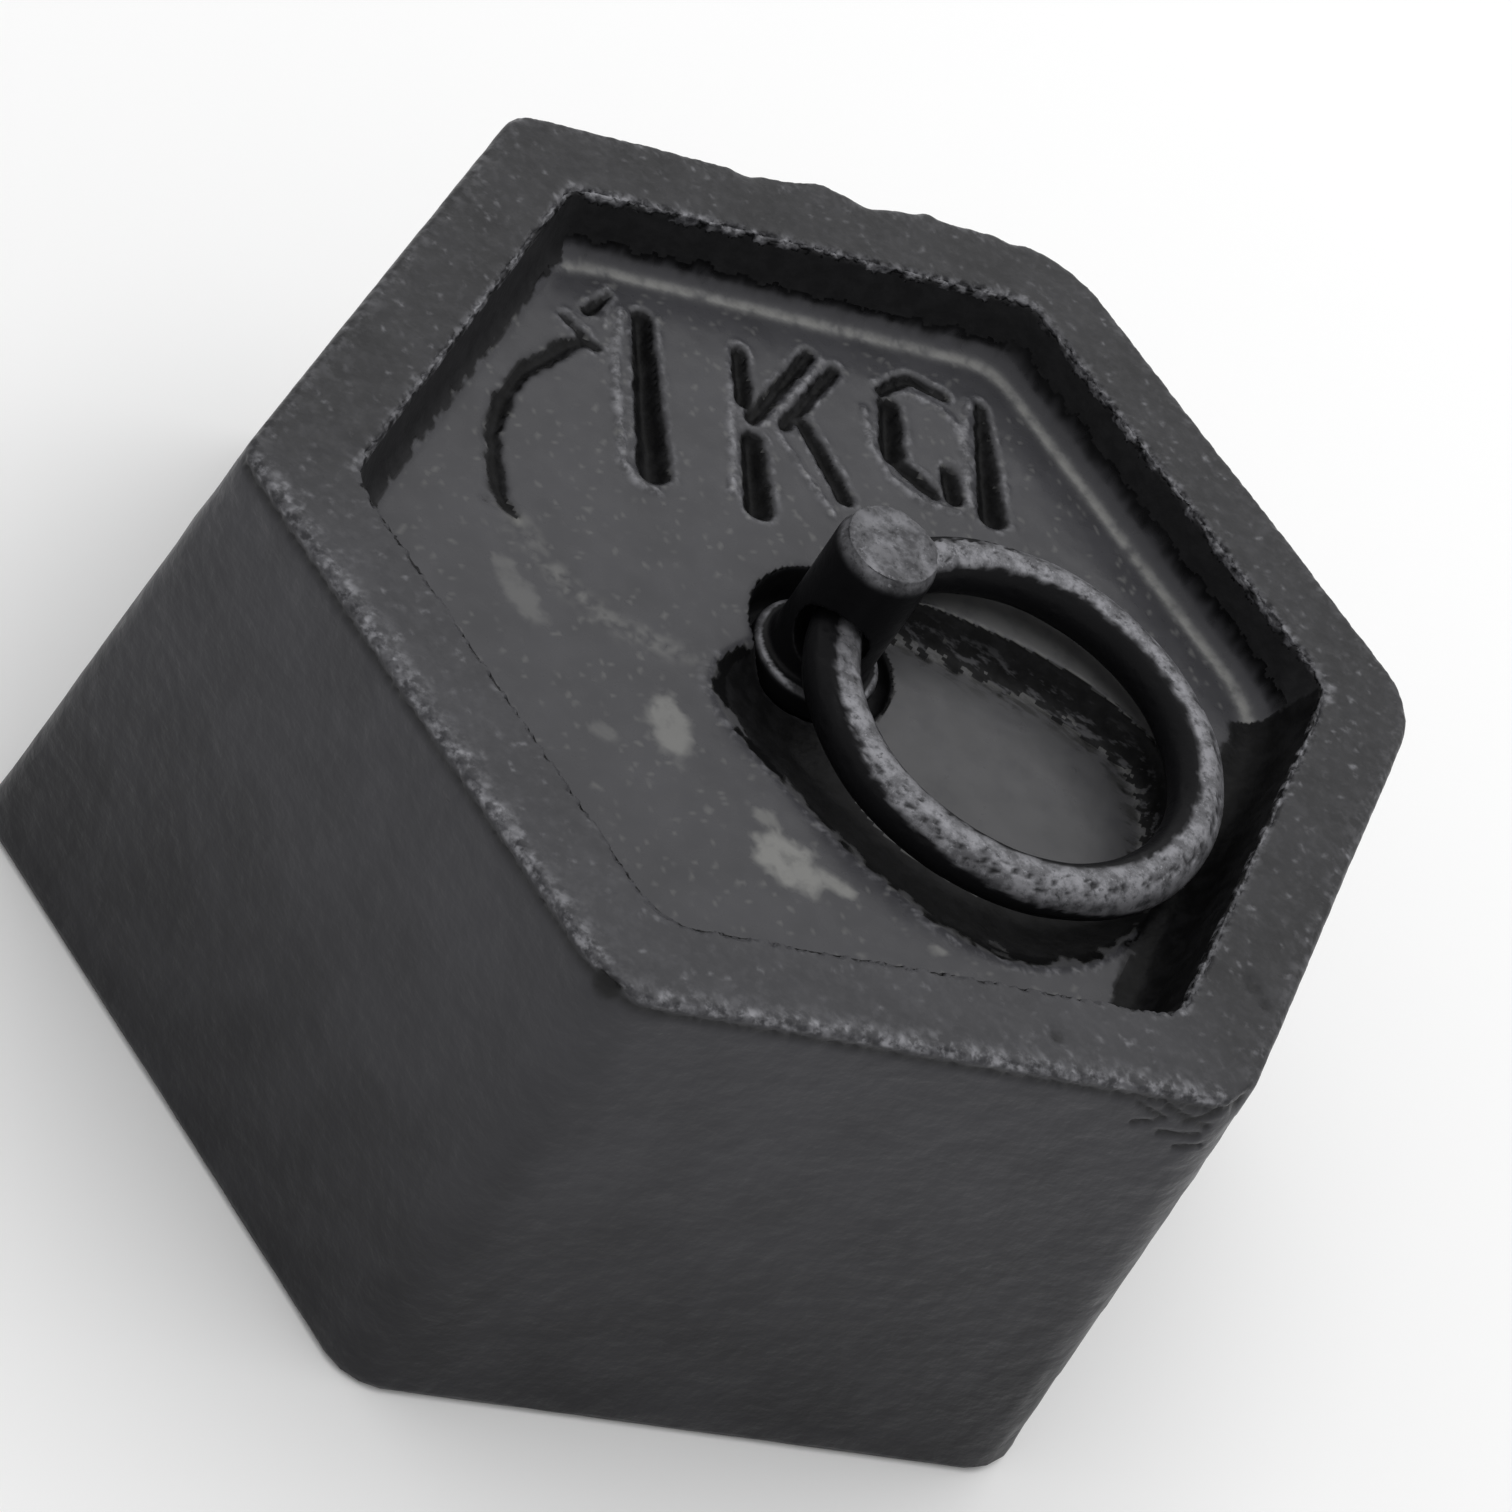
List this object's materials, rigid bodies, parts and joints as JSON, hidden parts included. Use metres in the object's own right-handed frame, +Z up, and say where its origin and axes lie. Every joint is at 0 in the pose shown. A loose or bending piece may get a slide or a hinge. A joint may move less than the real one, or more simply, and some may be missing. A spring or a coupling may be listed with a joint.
{
  "type": "hexagonal weight",
  "caption": "Drafted hexagonal cast-iron scale weight with a recessed top, where a lifting ring lies flat in the eye of a central post and swings over to the other side.",
  "frame": {"origin": "centre of the base, on the surface that the weight stands on", "axes": "+Z up, +Y through a corner of the hexagon and along the eye's axis, +X square to a flat side and the way the ring lies"},
  "size_m": [0.0728, 0.0832, 0.0392],
  "materials": {
    "casting": "black paint over sand-cast iron, satin, rubbed at the edges",
    "post": "black paint over forged iron, head rubbed bare",
    "ring": "round iron bar, dark, rubbed bright on top",
    "lead": "run-in lead, dull grey",
    "lead_plug": "hammered lead, dull grey"
  },
  "bodies": {
    "weight": {"weight_body": "casting", "eye_stud": "post", "adjusting_lead": "lead", "sealing_plug": "lead_plug"},
    "ring": {"lifting_ring": "ring"}
  },
  "joints": [
    {"name": "ring_swing", "type": "hinge", "parent": "weight", "child": "ring", "pos_m": [0, 0, 0.03265], "axis": [0, -1, 0], "range_deg": [0, 180]}
  ]
}
